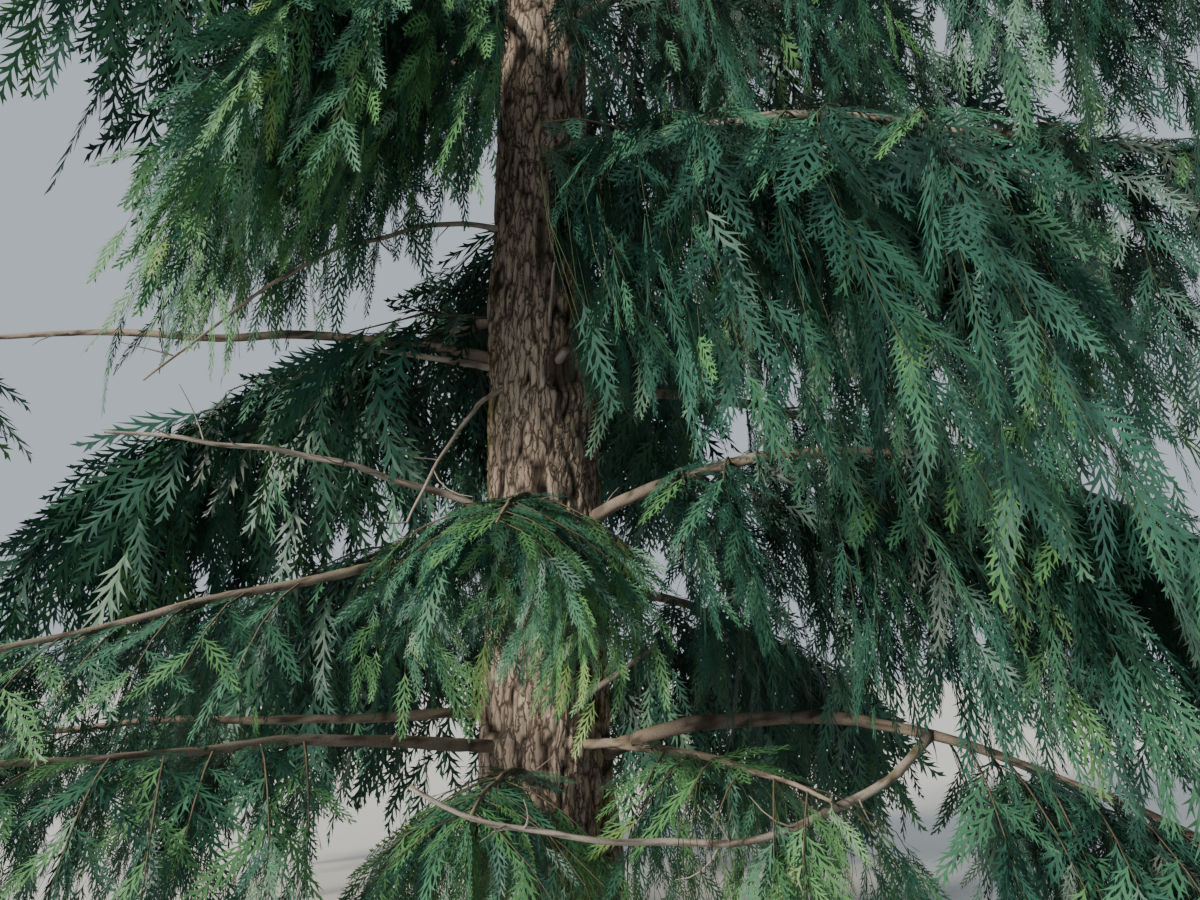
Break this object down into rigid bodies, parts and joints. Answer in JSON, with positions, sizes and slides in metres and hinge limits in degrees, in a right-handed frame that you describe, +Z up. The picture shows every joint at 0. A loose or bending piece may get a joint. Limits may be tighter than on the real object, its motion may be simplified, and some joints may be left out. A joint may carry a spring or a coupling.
{
  "type": "red cedar tree",
  "caption": "Whole red cedar: tall furrowed trunk with a flared foot, drooping boughs, bare dead limbs and hanging flat sprays in a tapering crown.",
  "frame": {"origin": "middle of the trunk's flat cut at ground level", "axes": "+Z up the tree, -Y towards the side that the picture shows, +X to its right"},
  "size_m": [9.2973, 8.588, 22],
  "materials": {
    "bark": "furrowed stringy bark",
    "bough_bark": "thin scaly bark",
    "dead_wood": "weathered grey",
    "foliage": "scale-leaf sprays"
  },
  "bodies": {
    "root": {"back_left_bough": "bough_bark", "back_left_foliage": "foliage", "back_left_upper_foliage": "foliage", "back_right_bough": "bough_bark", "back_right_foliage": "foliage", "back_upper_foliage": "foliage", "crown_01_foliage": "foliage", "crown_02_foliage": "foliage", "crown_03_foliage": "foliage", "crown_04_foliage": "foliage", "crown_05_foliage": "foliage", "crown_06_foliage": "foliage", "crown_07_foliage": "foliage", "crown_08_foliage": "foliage", "crown_09_foliage": "foliage", "crown_10_foliage": "foliage", "crown_11_foliage": "foliage", "crown_12_foliage": "foliage", "crown_13_foliage": "foliage", "crown_14_foliage": "foliage", "crown_15_foliage": "foliage", "crown_16_foliage": "foliage", "crown_17_foliage": "foliage", "crown_18_foliage": "foliage", "dead_front_arching": "dead_wood", "dead_left_arching": "dead_wood", "dead_left_drooping": "dead_wood", "dead_left_middle": "dead_wood", "front_foot_bough": "bough_bark", "front_foot_foliage": "foliage", "front_low_bough": "bough_bark", "front_low_foliage": "foliage", "front_middle_bough": "bough_bark", "front_middle_foliage": "foliage", "front_upper_bough": "bough_bark", "front_upper_foliage": "foliage", "leader_foliage": "foliage", "left_front_low_bough": "bough_bark", "left_front_low_foliage": "foliage", "left_long_bough": "bough_bark", "left_long_foliage": "foliage", "left_low_bough": "bough_bark", "left_low_foliage": "foliage", "left_middle_bough": "bough_bark", "left_middle_foliage": "foliage", "left_upper_bough": "bough_bark", "left_upper_foliage": "foliage", "right_dark_bough": "bough_bark", "right_dark_foliage": "foliage", "right_front_bough": "bough_bark", "right_front_foliage": "foliage", "right_low_bough": "bough_bark", "right_low_foliage": "foliage", "right_middle_bough": "bough_bark", "right_middle_foliage": "foliage", "right_top_bough": "bough_bark", "right_top_foliage": "foliage", "right_upper_bough": "bough_bark", "right_upper_foliage": "foliage", "trunk": "bark"}
  },
  "joints": []
}
